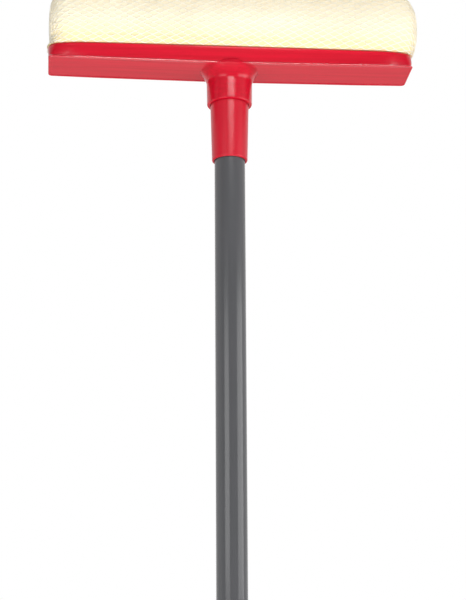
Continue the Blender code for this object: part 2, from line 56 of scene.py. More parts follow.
def linear(hexColour):
    # sRGB hex to the linear colour that a shader takes
    values = [int(hexColour[i:i + 2], 16) / 255 for i in (1, 3, 5)]
    straight = [v / 12.92 if v <= 0.04045 else ((v + 0.055) / 1.055) ** 2.4 for v in values]
    return (*straight, 1.0)


def addNode(tree, kind, settings, links):
    # A name that the node has is a setting of its own, and any other name or number is one of its inputs
    node = tree.nodes.new(kind)
    for name, value in settings.items():
        if isinstance(name, str) and hasattr(node, name):
            setattr(node, name, value)
        else:
            node.inputs[name].default_value = value
    for name, source in links.items():
        tree.links.new(source, node.inputs[name])
    return node


def newMaterial(name, shine):
    # shine holds what is the same all over the surface
    material = bpy.data.materials.new(name)
    material.use_nodes = True
    tree = material.node_tree
    shader = tree.nodes["Principled BSDF"]
    for socket, value in shine.items():
        shader.inputs[socket].default_value = value
    place = addNode(tree, "ShaderNodeTexCoord", {}, {}).outputs["Object"]
    return material, tree, shader, place


def wear(obj, material):
    obj.data.materials.clear()
    obj.data.materials.append(material)


def meshObject(name, points, faces):
    mesh = bpy.data.meshes.new(name)
    mesh.from_pydata([tuple(p) for p in points], [], [tuple(f) for f in faces])
    mesh.update()
    mesh.shade_smooth()
    obj = bpy.data.objects.new(name, mesh)
    bpy.context.scene.collection.objects.link(obj)
    return obj


# Camera

cameraSet = {
    "frameWide": 466,  # the photograph's frame, in pixels
    "frameHigh": 600,
    "rootPixel": (229.3, 73.0),  # where the handle's axis meets the underside of the head
    "rootHeight": 24.3,  # mm from the socket's mouth up to that underside
    "azimuth": -5.2,  # degrees
    "roll": -0.33,
    "sightRise": 22.5,  # degrees that the sight line climbs to that point
    "distance": 2.1,  # m
    "focalPixels": 3048,
    "sensor": 36.0,  # mm
}


def placeCamera(settings):
    root = Vector((0.0, 0.0, headLow.z + settings["rootHeight"] * mm))
    turn = math.radians(settings["azimuth"])
    rise = math.radians(settings["sightRise"])
    back = Vector((math.sin(turn) * math.cos(rise), -math.cos(turn) * math.cos(rise), -math.sin(rise)))
    aside = settings["rootPixel"][0] - settings["frameWide"] / 2
    above = settings["frameHigh"] / 2 - settings["rootPixel"][1]
    roll = math.radians(settings["roll"])
    cosine, sine = math.cos(roll), math.sin(roll)
    aside, above = aside * cosine - above * sine, above * cosine + aside * sine
    data = bpy.data.cameras.new("photoCamera")
    data.sensor_width = settings["sensor"]
    data.lens = settings["sensor"] * settings["focalPixels"] / settings["frameHigh"]
    camera = bpy.data.objects.new("photoCamera", data)
    camera.location = root + back * settings["distance"]
    pitch = rise - math.atan(above / settings["focalPixels"])
    heading = turn + math.atan(aside / settings["focalPixels"]) / math.cos(rise)
    aim = Matrix.Rotation(heading, 3, "Z") @ Matrix.Rotation(math.pi / 2 + pitch, 3, "X")
    camera.rotation_euler = (aim @ Matrix.Rotation(roll, 3, "Z")).to_euler()
    bpy.context.scene.collection.objects.link(camera)
    bpy.context.scene.camera = camera
    return root


headRoot = placeCamera(cameraSet)
print("camera placed")


# Studio: pale floor, white surround and soft lamps

studioSet = {
    "floorSize": 30.0,  # m
    "floorColour": "#f1f1ef", "floorShade": "#eeeeec", "floorGrain": 30.0,  # mm
    "paint": {"Roughness": 0.9, "Specular IOR Level": 0.2},
    "floorWhite": 0.35,  # share of its plain colour in the seen floor, whose rest keeps its shadows
    "surround": 0.33,  # strength of the white surround as a light
    "cameraSide": 0.20,  # how bright a shine shows the camera's side, where the far side is 1
    "sideFade": (-0.5, 0.0),  # depths, -1 towards the camera, between which the one turns to the other
    "lamps": [
        # name, azimuth, height of its middle, distance, wide, high, watts, degrees that it spreads over
        ("frontSoftbox", 5.0, 1.052, 0.55, 0.30, 0.045, 1.20, 180),
        ("rightWing", 48.0, 1.45, 1.35, 1.00, 0.22, 0.4, 180),
        ("leftStrip", -37.0, 0.91, 1.25, 0.74, 0.32, 3.3, 180),
        ("rightStrip", 65.0, 0.85, 1.00, 0.88, 0.34, 3.9, 180),
        ("bounceTable", -6.0, 0.004, 0.28, 0.90, 0.52, 4.3, 140),
        ("backSoftbox", 168.0, 1.85, 1.30, 1.20, 0.60, 10.0, 180),
        ("backFill", 188.0, 1.15, 1.50, 1.80, 0.90, 8.0, 180),
    ],
    "facesUp": ["bounceTable"],  # lies flat, so that it lights no floor
    "unmirrored": ["backFill"],  # a fill that no shine shows
}


def makeFloor(settings):
    half = settings["floorSize"] / 2
    corners = [(-half, -half, 0), (half, -half, 0), (half, half, 0), (-half, half, 0)]
    floor = meshObject("floor", corners, [(0, 1, 2, 3)])
    material, tree, shader, place = newMaterial("matteStudioPaint", settings["paint"])
    grain = addNode(
        tree, "ShaderNodeTexNoise", {"Scale": 1 / (settings["floorGrain"] * mm), "Detail": 3.0},
        {"Vector": place})
    tone = addNode(tree, "ShaderNodeValToRGB", {}, {"Fac": grain.outputs["Fac"]})
    tone.color_ramp.elements[0].color = linear(settings["floorShade"])
    tone.color_ramp.elements[1].color = linear(settings["floorColour"])
    tree.links.new(tone.outputs["Color"], shader.inputs["Base Color"])
    path = addNode(tree, "ShaderNodeLightPath", {}, {})
    seen = addNode(
        tree, "ShaderNodeMath", {"operation": "MAXIMUM"},
        {0: path.outputs["Is Camera Ray"], 1: path.outputs["Is Glossy Ray"]})
    seen = addNode(
        tree, "ShaderNodeMath", {"operation": "MAXIMUM"},
        {0: seen.outputs[0], 1: path.outputs["Is Transmission Ray"]})
    share = addNode(
        tree, "ShaderNodeMapRange", {"To Max": settings["floorWhite"]}, {"Value": seen.outputs[0]})
    plain = addNode(tree, "ShaderNodeEmission", {"Strength": 1.0}, {"Color": tone.outputs["Color"]})
    mixed = addNode(
        tree, "ShaderNodeMixShader", {}, {0: share.outputs[0], 1: shader.outputs[0], 2: plain.outputs[0]})
    tree.links.new(mixed.outputs[0], tree.nodes["Material Output"].inputs["Surface"])
    wear(floor, material)


def makeSurround(settings):
    # White to the eye, weaker as a light, and darker in a shine on the camera's side
    world = bpy.data.worlds.new("whiteSurround")
    bpy.context.scene.world = world
    world.use_nodes = True
    tree = world.node_tree
    tree.nodes.clear()
    path = addNode(tree, "ShaderNodeLightPath", {}, {})
    way = addNode(tree, "ShaderNodeTexCoord", {}, {}).outputs["Generated"]
    depth = addNode(tree, "ShaderNodeSeparateXYZ", {}, {"Vector": way}).outputs["Y"]
    near, far = settings["sideFade"]
    shown = addNode(
        tree, "ShaderNodeMapRange",
        {"From Min": near, "From Max": far, "To Min": settings["cameraSide"], "To Max": 1.0},
        {"Value": depth})
    mirrored = addNode(
        tree, "ShaderNodeMapRange", {"To Min": settings["surround"]},
        {"Value": path.outputs["Is Glossy Ray"], "To Max": shown.outputs[0]})
    seen = addNode(
        tree, "ShaderNodeMath", {"operation": "MAXIMUM"},
        {0: path.outputs["Is Camera Ray"], 1: path.outputs["Is Transmission Ray"]})
    strength = addNode(
        tree, "ShaderNodeMapRange", {"To Max": 1.0},
        {"Value": seen.outputs[0], "To Min": mirrored.outputs[0]})
    light = addNode(
        tree, "ShaderNodeBackground", {"Color": (1.0, 1.0, 1.0, 1.0)}, {"Strength": strength.outputs[0]})
    addNode(tree, "ShaderNodeOutputWorld", {}, {"Surface": light.outputs[0]})


def placeLamps(settings):
    for name, azimuth, height, distance, wide, high, watts, spread in settings["lamps"]:
        turn = math.radians(azimuth)
        data = bpy.data.lights.new(name, "AREA")
        data.shape = "RECTANGLE"
        data.size = wide
        data.size_y = high
        data.energy = watts
        data.spread = math.radians(spread)
        lamp = bpy.data.objects.new(name, data)
        lamp.location = (math.sin(turn) * distance, -math.cos(turn) * distance, height)
        lamp.visible_camera = False
        lamp.visible_glossy = name not in settings["unmirrored"]
        if name in settings["facesUp"]:
            lamp.rotation_euler = (math.pi, 0.0, 0.0)
        else:
            lamp.rotation_euler = (headRoot - lamp.location).to_track_quat("-Z", "Y").to_euler()
        bpy.context.scene.collection.objects.link(lamp)


makeFloor(studioSet)
makeSurround(studioSet)
placeLamps(studioSet)
print("studio built")


# Surfaces: each one's settings give its two tones with their places on a pattern from 0 to 1, the range of
# its roughness, and its relief as a bump's strength and its depth in mm

def finishSurface(tree, shader, settings, toneFrom, reliefFrom, glossFrom=None):
    # Each follows the pattern given for it. The colour is handed back, for a material that adds to it.
    tone = addNode(tree, "ShaderNodeValToRGB", {}, {"Fac": toneFrom})
    for stop, (where, colour) in zip(tone.color_ramp.elements, settings["tones"]):
        stop.position = where
        stop.color = linear(colour)
    tree.links.new(tone.outputs["Color"], shader.inputs["Base Color"])
    if glossFrom is not None:
        low, high = settings["roughness"]
        gloss = addNode(tree, "ShaderNodeMapRange", {"To Min": low, "To Max": high}, {"Value": glossFrom})
        tree.links.new(gloss.outputs[0], shader.inputs["Roughness"])
    strength, depth = settings["relief"]
    skin = addNode(
        tree, "ShaderNodeBump", {"Strength": strength, "Distance": depth * mm}, {"Height": reliefFrom})
    tree.links.new(skin.outputs[0], shader.inputs["Normal"])
    return tone.outputs["Color"]


# Polypropylene, injection moulded: an even colour whose soft gloss carries the faint long marks of the melt's
# flow and the orange peel of the mould

headPlastic = {
    "tones": ((0.3, "#bc0722"), (0.7, "#cc0928")), "level": 0.36,
    "roughness": (0.20, 0.25), "relief": (0.05, 0.1),
    "flowWide": 2.2, "flowLong": 60.0, "peel": 1.1,  # mm
    # The bead along the tray's front edge, in mm: the height of its lowest point, the rise of its ends, how
    # high it is, how far in front of the handle's axis its back lies, and how far from the middle it starts
    "beadFoot": 840.2, "beadBow": 1.2, "beadHigh": 1.7, "beadBack": 16.9, "beadStart": 9.5,
    "beadEdge": 0.2, "beadFade": 1.5,  # mm over which its shine fades along its edges and at its start
    "beadCoat": {"Coat Roughness": 0.08, "Coat IOR": 1.8},
}
sleevePlastic = {
    "tones": ((0.3, "#c10a25"), (0.7, "#c90d29")), "level": 0.36,
    "roughness": (0.26, 0.32), "relief": (0.05, 0.1),
    "flowWide": 3.0, "flowLong": 40.0, "peel": 0.8,  # mm
}
capPlastic = {
    "tones": ((0.3, "#c10a25"), (0.7, "#c90d29")), "level": 0.36,
    "roughness": (0.34, 0.42), "relief": (0.05, 0.1),
    "flowWide": 3.0, "flowLong": 30.0, "peel": 0.9,  # mm
}
platePlastic = {
    "tones": ((0.3, "#e2e1da"), (0.7, "#ecebe5")), "level": 0.5,
    "roughness": (0.42, 0.50), "relief": (0.05, 0.1),
    "flowWide": 4.0, "flowLong": 80.0, "peel": 0.7,  # mm
}


def mouldedPolypropylene(name, settings, flowAxis):
    shine = {"IOR": 1.49, "Specular IOR Level": settings["level"]}
    material, tree, shader, place = newMaterial(name, shine)
    stretch = [1 / (settings["flowWide"] * mm)] * 3
    stretch[flowAxis] = 1 / (settings["flowLong"] * mm)
    lines = addNode(tree, "ShaderNodeMapping", {"Scale": stretch}, {"Vector": place})
    flow = addNode(tree, "ShaderNodeTexNoise", {"Scale": 1.0, "Detail": 2.0}, {"Vector": lines.outputs[0]})
    peel = addNode(
        tree, "ShaderNodeTexNoise", {"Scale": 1 / (settings["peel"] * mm), "Detail": 1.0},
        {"Vector": place})
    finishSurface(tree, shader, settings, flow.outputs["Fac"], peel.outputs["Fac"], flow.outputs["Fac"])
    return material


def polishBead(material, settings):
    # The mould is polished along the bead, so that its skin shines like a clear coat and draws a pale line
    tree = material.node_tree
    shader = tree.nodes["Principled BSDF"]
    place = addNode(tree, "ShaderNodeTexCoord", {}, {}).outputs["Object"]
    along, across, up = addNode(tree, "ShaderNodeSeparateXYZ", {}, {"Vector": place}).outputs
    square = addNode(tree, "ShaderNodeMath", {"operation": "MULTIPLY"}, {0: along, 1: along})
    bow = -settings["beadBow"] * mm / headHigh.x ** 2
    level = addNode(
        tree, "ShaderNodeMath", {"operation": "MULTIPLY_ADD", 1: bow}, {0: square.outputs[0], 2: up})
    edge = settings["beadEdge"] * mm
    top = (settings["beadFoot"] + settings["beadHigh"]) * mm
    low = addNode(
        tree, "ShaderNodeMapRange", {"From Min": top + edge, "From Max": top}, {"Value": level.outputs[0]})
    back = -settings["beadBack"] * mm
    front = addNode(
        tree, "ShaderNodeMapRange", {"From Min": back, "From Max": back - edge}, {"Value": across})
    start = settings["beadStart"] * mm
    full = start + settings["beadFade"] * mm
    beside = addNode(
        tree, "ShaderNodeMapRange", {"From Min": start ** 2, "From Max": full ** 2},
        {"Value": square.outputs[0]})
    bead = addNode(
        tree, "ShaderNodeMath", {"operation": "MULTIPLY"}, {0: low.outputs[0], 1: front.outputs[0]})
    bead = addNode(
        tree, "ShaderNodeMath", {"operation": "MULTIPLY"}, {0: bead.outputs[0], 1: beside.outputs[0]})
    tree.links.new(bead.outputs[0], shader.inputs["Coat Weight"])
    for socket, value in settings["beadCoat"].items():
        shader.inputs[socket].default_value = value


# Powder-coated steel tube: a dark even grey with a satin skin, whose fine orange peel softens the streaks of
# light along it

tubeCoat = {
    "tones": ((0.0, "#525355"), (1.0, "#565659")),
    "roughness": (0.13, 0.17), "relief": (0.08, 0.1),
    "peel": 0.9, "cloud": 40.0,  # mm
}


def powderCoat(name, settings):
    material, tree, shader, place = newMaterial(name, {"IOR": 1.5, "Specular IOR Level": 0.3})
    cloud = addNode(
        tree, "ShaderNodeTexNoise", {"Scale": 1 / (settings["cloud"] * mm), "Detail": 2.0},
        {"Vector": place})
    peel = addNode(
        tree, "ShaderNodeTexNoise", {"Scale": 1 / (settings["peel"] * mm), "Detail": 2.0},
        {"Vector": place})
    finishSurface(tree, shader, settings, cloud.outputs["Fac"], peel.outputs["Fac"], cloud.outputs["Fac"])
    return material


# Galvanised steel sheet, rolled and folded: a bluish grey metal with long rolling lines and a faint spangle

sheetZinc = {
    "tones": ((0.0, "#c6cacf"), (1.0, "#b4b9bf")),  # in the middle of a spangle and at its edge
    "roughness": (0.28, 0.44), "relief": (0.10, 0.05),
    "lineWide": 0.35, "spangle": 6.0,  # mm
    "lineStretch": 150,  # times as long as wide
}


def galvanisedSheet(name, settings):
    material, tree, shader, place = newMaterial(name, {"Metallic": 1.0})
    wide = 1 / (settings["lineWide"] * mm)
    lines = addNode(
        tree, "ShaderNodeMapping", {"Scale": (wide / settings["lineStretch"], wide, wide)},
        {"Vector": place})
    rolled = addNode(tree, "ShaderNodeTexNoise", {"Scale": 1.0, "Detail": 3.0}, {"Vector": lines.outputs[0]})
    spangle = addNode(
        tree, "ShaderNodeTexVoronoi", {"Scale": 1 / (settings["spangle"] * mm)}, {"Vector": place})
    lineMarks = rolled.outputs["Fac"]
    finishSurface(tree, shader, settings, spangle.outputs["Distance"], lineMarks, lineMarks)
    return material


# Extruded natural rubber: near black and dull, with fine drawn lines along it and a bloom of grey

bladeRubber = {
    "tones": ((0.35, "#1b1b1d"), (0.8, "#2b2b2e")),  # of the rubber and of its bloom
    "roughness": (0.52, 0.66), "relief": (0.15, 0.05),
    "lineWide": 0.5, "bloomWide": 14.0,  # mm
    "lineStretch": 200,  # times as long as wide
}


def extrudedRubber(name, settings):
    material, tree, shader, place = newMaterial(name, {"IOR": 1.52, "Specular IOR Level": 0.4})
    wide = 1 / (settings["lineWide"] * mm)
    lines = addNode(
        tree, "ShaderNodeMapping", {"Scale": (wide / settings["lineStretch"], wide, wide)},
        {"Vector": place})
    drawn = addNode(tree, "ShaderNodeTexNoise", {"Scale": 1.0, "Detail": 2.0}, {"Vector": lines.outputs[0]})
    bloom = addNode(
        tree, "ShaderNodeTexNoise", {"Scale": 1 / (settings["bloomWide"] * mm), "Detail": 4.0},
        {"Vector": place})
    finishSurface(tree, shader, settings, bloom.outputs["Fac"], drawn.outputs["Fac"], bloom.outputs["Fac"])
    return material


# Rigid pieces keep the frame's shapes, and their edges get the small round that moulding, folding or cutting
# leaves

edgeSet = {
    "rounds": {  # mm
        "head_body": 0.35, "handle_adapter": 0.25, "end_cap": 0.25, "handle_tube": 0.15,
        "blade_channel": 0.25, "squeegee_blade": 0.15, "sponge_plate": 0.25,
    },
    "weld": 0.002,  # mm within which points become one
    "flat": 0.5,  # degrees within which faces become one
    "sharp": 34.0,  # degrees from which an edge is rounded
}


def roundEdges(obj, width, settings):
    weld = obj.modifiers.new("weld", "WELD")
    weld.merge_threshold = settings["weld"] * mm
    flat = obj.modifiers.new("flatten", "DECIMATE")
    flat.decimate_type = "DISSOLVE"
    flat.angle_limit = math.radians(settings["flat"])
    bevel = obj.modifiers.new("edgeRound", "BEVEL")
    bevel.width = width * mm
    bevel.segments = 2
    bevel.limit_method = "ANGLE"
    bevel.angle_limit = math.radians(settings["sharp"])
    bevel.use_clamp_overlap = True
    obj.data.shade_smooth()
    even = obj.modifiers.new("evenNormals", "WEIGHTED_NORMAL")
    even.keep_sharp = False


# Plated steel screws: pan heads with a cross recess, in a pale, faintly clouded zinc that takes a tight shine

screwSet = {  # in mm, but for the power and the counts
    # Radius and depth along the head's top and rim, and along the shank
    "top": [
        (0.0, 0.0), (0.9, 0.02), (1.6, 0.10), (2.2, 0.26), (2.7, 0.58), (3.02, 1.05), (3.1, 1.5), (3.1, 1.9)],
    "shank": [(1.3, 1.9), (1.3, 5.55), (0.65, 6.2), (0.0, 6.2)],
    "rimIn": 0.1, "rimUp": 0.12,  # the round under the rim
    "reach": 2.1,  # the head's largest radius less its depth there, which its node's box is taken from
    "arm": 1.55, "armHalf": 0.42, "armWall": 0.16, "armDeep": 1.05,
    "armCurve": 0.6,  # power by which a groove's floor runs out to its end
    "recessed": 1.0,  # depth down to which the head's top can hold the grooves
    "firstRing": 0.06, "rings": 26, "around": 120,
}
screwPlate = {
    "tones": ((0.0, "#bfc1c2"), (1.0, "#d3d4d3")),
    "roughness": (0.22, 0.38), "relief": (0.08, 0.03),
    "cloud": 1.4,  # mm
}


def platedSteel(name, settings):
    material, tree, shader, place = newMaterial(name, {"Metallic": 1.0})
    cloud = addNode(
        tree, "ShaderNodeTexNoise", {"Scale": 1 / (settings["cloud"] * mm), "Detail": 4.0},
        {"Vector": place})
    finishSurface(tree, shader, settings, cloud.outputs["Fac"], cloud.outputs["Fac"], cloud.outputs["Fac"])
    return material


def crossDepth(x, y, settings):
    # Two crossed grooves with leaning walls, deepest in the middle
    deepest = 0.0
    for along, aside in ((abs(x), abs(y)), (abs(y), abs(x))):
        wall = min(max((settings["armHalf"] - aside) / settings["armWall"], 0.0), 1.0)
        length = min(max((settings["arm"] - along) / settings["arm"], 0.0), 1.0) ** settings["armCurve"]
        deepest = max(deepest, wall * length * settings["armDeep"])
    return deepest


def makeScrew(nodeName, settings):
    low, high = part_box(nodeName)
    centre = (low + high) / 2
    out = Vector((0.0, 1.0, -1.0)).normalized()  # square to the jaw's lower side
    aside = Vector((1.0, 0.0, 0.0))
    across = out.cross(aside)
    top = (high.y - centre.y) * math.sqrt(2.0) - settings["reach"] * mm
    radii = [r for r, depth in settings["top"]]
    depths = [depth for r, depth in settings["top"]]
    # Rings over the head's top at even steps of radius, then down its rim and the shank
    overTop = np.linspace(settings["firstRing"], radii[-2], settings["rings"])
    rings = [(r, float(np.interp(r, radii[:-1], depths[:-1]))) for r in overTop]
    rings += [(radii[-1], depths[-1] - settings["rimUp"]), (radii[-1] - settings["rimIn"], depths[-1])]
    rings += settings["shank"][:-1]
    around = settings["around"]
    points = []
    for r, depth in rings:
        for k in range(around):
            turn = 2 * math.pi * k / around
            x, y = r * math.cos(turn), r * math.sin(turn)
            sunk = depth + (crossDepth(x, y, settings) if depth < settings["recessed"] else 0.0)
            points.append(centre + out * (top - sunk * mm) + (aside * x + across * y) * mm)
    count = len(rings)
    faces = []
    for i in range(count - 1):
        for k in range(around):
            a, b = i * around + k, i * around + (k + 1) % around
            faces.append((a, a + around, b + around, b))
    points.append(centre + out * (top - crossDepth(0.0, 0.0, settings) * mm))
    points.append(centre + out * (top - settings["shank"][-1][1] * mm))
    last = (count - 1) * around
    for k in range(around):
        after = (k + 1) % around
        faces.append((count * around, k, after))
        faces.append((count * around + 1, last + after, last + k))
    screw = meshObject(nodeName.replace("channel_screw", "panHeadScrew"), points, faces)
    wear(screw, zincPlating)
    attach(screw, "head")
    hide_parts(nodeName)


finishes = {
    "head_body": mouldedPolypropylene("redPolypropyleneMoulded", headPlastic, 0),
    "handle_adapter": mouldedPolypropylene("redSleevePolypropylene", sleevePlastic, 2),
    "end_cap": mouldedPolypropylene("redCapPolypropylene", capPlastic, 2),
    "handle_tube": powderCoat("greyPowderCoatedSteel", tubeCoat),
    "blade_channel": galvanisedSheet("galvanisedRolledSheet", sheetZinc),
    "squeegee_blade": extrudedRubber("blackExtrudedRubber", bladeRubber),
    "sponge_plate": mouldedPolypropylene("whitePolypropyleneMoulded", platePlastic, 0),
}
polishBead(finishes["head_body"], headPlastic)
for nodeName, material in finishes.items():
    wear(nodes[nodeName], material)
for nodeName, width in edgeSet["rounds"].items():
    roundEdges(nodes[nodeName], width, edgeSet)
zincPlating = platedSteel("zincPlatedSteel", screwPlate)
for side in ("left", "middle", "right"):
    makeScrew("channel_screw_" + side, screwSet)
print("rigid pieces finished")


# Sponge: a foam loaf with a knitted net stretched over it

foamSet = {
    "weld": 0.01, "voxel": 4.0,  # mm
    "drawnIn": 0.9, "footPlain": 1.5,  # mm that the faces are drawn in, and mm of the foot that aren't
    "pressure": 4.0, "steps": 20,
    "footHeld": 1.5, "moveCap": 1.3,  # mm above that foot that the cloth holds, and the most that it moves
    "coreInset": 26.0,  # mm from an end to where the meridians start to fan out over it
    "fanHeight": 1.0,  # mm above the foot that their centre lies
    "turnSteps": 361, "fanSteps": 60, "straightSteps": 70,
    "rowsLong": 400, "rowsRound": 176,
    "lumpHigh": 0.22, "lumpWide": 34.0,  # mm
    "bulge": 0.34, "sink": 0.15,  # mm that the foam swells through the net's meshes and lies under its yarns
    "bulgeCurve": 0.7,  # power that makes the swelling rounder
    "fadeLong": 0.09, "fadeRound": 0.02,  # shares of the length and girth over which it fades at their ends
    # The tray's rim in the middle of the head, from the socket's mouth, and the rise of its ends, in mm
    "rimHeight": 35.0, "rimBow": 1.2,
    # The foot over the rim, in mm: where it starts to swell, its gap, its overhang, its end towards the back
    "rimSwell": 6.0, "rimClear": 0.25, "rimHang": 0.4, "backFade": 8.0,
    "rimUnder": 1.0, "rimReach": 20.0,  # mm under the rim and beyond the foam, where its edge is felt for
}
netSet = {
    "pillarPitch": 2.1, "meshLong": 8.0,  # mm between two pillars, and along one from knot to knot
    "halfWide": 0.40, "halfHigh": 0.20, "lift": 0.12,  # mm
    "step": 1.05,  # mm along a pillar
    "tuck": 0.011,  # share of a meridian that stays free at each end, under the rim
    "swing": 0.97,  # less than 1, so that the pillars turn softly where they meet
}


def bakedMesh(obj):
    bpy.context.view_layer.update()
    return bpy.data.meshes.new_from_object(obj.evaluated_get(bpy.context.evaluated_depsgraph_get()))


def pressedFoam(settings):
    # The solid's shape, drawn in a little and blown up as cloth with its foot held, so that its faces crown
    start = bmesh.new()
    start.from_mesh(nodes["sponge_core"].data)
    bmesh.ops.remove_doubles(start, verts=start.verts, dist=settings["weld"] * mm)
    mesh = bpy.data.meshes.new("foamPress")
    start.to_mesh(mesh)
    start.free()
    press = bpy.data.objects.new("foamPress", mesh)
    bpy.context.scene.collection.objects.link(press)
    even = press.modifiers.new("even", "REMESH")
    even.mode = "VOXEL"
    even.voxel_size = settings["voxel"] * mm
    press.data = bakedMesh(press)
    press.modifiers.clear()
    foot = foamLow.z + settings["footPlain"] * mm
    normals = [v.normal.copy() for v in press.data.vertices]
    for vertex, normal in zip(press.data.vertices, normals):
        if vertex.co.z > foot:
            vertex.co -= normal * settings["drawnIn"] * mm
    before = [v.co.copy() for v in press.data.vertices]
    held = press.vertex_groups.new(name="foot")
    heldTop = foot + settings["footHeld"] * mm
    held.add([v.index for v in press.data.vertices if v.co.z < heldTop], 1.0, "REPLACE")
    cloth = press.modifiers.new("pressure", "CLOTH")
    cloth.settings.use_pressure = True
    cloth.settings.uniform_pressure_force = settings["pressure"]
    cloth.settings.effector_weights.gravity = 0.0
    cloth.settings.vertex_group_mass = "foot"
    cloth.point_cache.frame_end = settings["steps"]
    for step in range(1, settings["steps"] + 1):
        bpy.context.scene.frame_set(step)
    press.data = bakedMesh(press)
    press.modifiers.clear()
    press.vertex_groups.clear()
    bpy.context.scene.frame_set(1)
    cap = settings["moveCap"] * mm
    for vertex, old in zip(press.data.vertices, before):
        move = vertex.co - old
        if move.length > cap:
            vertex.co = old + move * (cap / move.length)
    fine = press.modifiers.new("fine", "SUBSURF")
    fine.levels = 2
    shape = bakedMesh(press)
    tree = BVHTree.FromPolygons([v.co for v in shape.vertices], [p.vertices for p in shape.polygons])
    bpy.data.objects.remove(press)
    return tree


def evenly(points, count):
    # The same line of points at equal steps of its length, and that length
    steps = np.linalg.norm(np.diff(points, axis=0), axis=1)
    along = np.concatenate(([0.0], np.cumsum(steps)))
    wanted = np.linspace(0.0, along[-1], count)
    return np.stack([np.interp(wanted, along, points[:, k]) for k in range(3)], axis=1), along[-1]


headMesh = nodes["head_body"].data
headTree = BVHTree.FromPolygons([v.co for v in headMesh.vertices], [p.vertices for p in headMesh.polygons])


def overRim(tree, place, middle, way, settings):
    # The foam's foot swells out to the tray's rim in front and at the ends, and hangs a little over it
    full = settings["rimSwell"] * mm
    clear = settings["rimClear"] * mm
    rim = headLow.z + settings["rimHeight"] * mm + settings["rimBow"] * mm * (place.x / headHigh.x) ** 2
    height = place.z - rim
    backward = min(max(place.y / (settings["backFade"] * mm), 0.0), 1.0)
    if height >= full or backward >= 1.0:
        return place
    level = Vector((way.x, way.y, 0.0)).normalized()
    side = tree.ray_cast(Vector((middle.x, middle.y, rim + full)), level)[0]
    under = Vector((side.x, side.y, rim - settings["rimUnder"] * mm))
    edge = headTree.ray_cast(under + level * settings["rimReach"] * mm, -level)[0]
    lowest = middle.z - rim
    share = (height - lowest) / (full - lowest)
    start = Vector((edge.x, edge.y, 0.0)) + level * settings["rimHang"] * mm
    ease = 1 - (1 - share) ** 2
    swelled = start.lerp(Vector((side.x, side.y, 0.0)), ease)
    swelled.z = rim + clear + (full - clear) * share
    return swelled.lerp(place, backward)


def foamGrid(tree, settings):
    # Meridians run the length of the loaf and fan down over its ends, to meet where its foot ends
    middleX = (foamLow.x + foamHigh.x) / 2
    centreY = (foamLow.y + foamHigh.y) / 2
    footZ = foamLow.z + settings["fanHeight"] * mm
    reach = (foamHigh.x - foamLow.x) / 2 - settings["coreInset"] * mm

    def hit(x, turn, fan):
        way = Vector((math.sin(fan), math.cos(fan) * math.sin(turn), math.cos(fan) * math.cos(turn)))
        place = tree.ray_cast(Vector((x, centreY, footZ)), way)[0]
        return overRim(tree, place, Vector((x, centreY, footZ)), way, settings)

    turns = np.linspace(-math.pi / 2, math.pi / 2, settings["turnSteps"])
    section = np.array([hit(middleX, turn, 0.0) for turn in turns])
    steps = np.linalg.norm(np.diff(section, axis=0), axis=1)
    roundLengths = np.concatenate(([0.0], np.cumsum(steps)))
    chosen = np.interp(np.linspace(0.0, roundLengths[-1], settings["rowsRound"] + 1), roundLengths, turns)
    fans = np.linspace(0.0, math.pi / 2, settings["fanSteps"])
    straight = np.linspace(-reach, reach, settings["straightSteps"])
    stations = [(middleX - reach, -fan) for fan in fans[:0:-1]]
    stations += [(middleX + x, 0.0) for x in straight]
    stations += [(middleX + reach, fan) for fan in fans[1:]]
    rows = []
    lengths = []
    for turn in chosen:
        line = np.array([hit(x, turn, fan) for x, fan in stations])
        line, length = evenly(line, settings["rowsLong"] + 1)
        rows.append(line)
        lengths.append(length)
    return np.array(rows), np.array(lengths), roundLengths[-1]


def atUnitLength(vectors):
    sizes = np.linalg.norm(vectors, axis=2, keepdims=True)
    return vectors / np.maximum(sizes, 1e-12)


def gridNormals(grid):
    along = np.gradient(grid, axis=1)
    across = np.gradient(grid, axis=0)
    return atUnitLength(np.cross(along, across))


def halfMeshes(longShare, lengths):
    # How many half meshes of the net lie between the middle of the loaf and a share of its length
    return (longShare - 0.5) * lengths / (netSet["meshLong"] * mm / 2)


def makeFoam(settings, grid, normals, lengths, acrossLength):
    rowShare = np.linspace(0.0, 1.0, grid.shape[0])[:, None]
    longShare = np.linspace(0.0, 1.0, grid.shape[1])[None, :]
    pillar = rowShare * acrossLength / (netSet["pillarPitch"] * mm)
    half = halfMeshes(longShare, lengths[:, None])
    swell = np.abs(np.sin(math.pi * (pillar - half) / 2) * np.sin(math.pi * (pillar + half) / 2))
    swell = swell ** settings["bulgeCurve"]
    fade = np.clip((0.5 - np.abs(longShare - 0.5)) / settings["fadeLong"], 0.0, 1.0)
    fade = fade * np.clip((0.5 - np.abs(rowShare - 0.5)) / settings["fadeRound"], 0.0, 1.0)
    lumps = np.array([[noise.noise(Vector(p) / (settings["lumpWide"] * mm)) for p in row] for row in grid])
    rise = settings["bulge"] * swell * fade + settings["lumpHigh"] * lumps - settings["sink"]
    shaped = grid + normals * (rise * mm)[:, :, None]
    rows, longs = grid.shape[:2]
    inner = shaped[:, 1:-1].reshape(-1, 3)
    count = longs - 2
    points = inner.tolist() + [shaped[:, 0].mean(axis=0).tolist(), shaped[:, -1].mean(axis=0).tolist()]
    left = len(points) - 2
    right = len(points) - 1
    faces = []
    for row in range(rows):
        low = row * count
        high = (row + 1) % rows * count
        faces += [(low + i, high + i, high + i + 1, low + i + 1) for i in range(count - 1)]
        faces.append((left, high, low))
        faces.append((right, low + count - 1, high + count - 1))
    return meshObject("spongeFoam", points, faces)


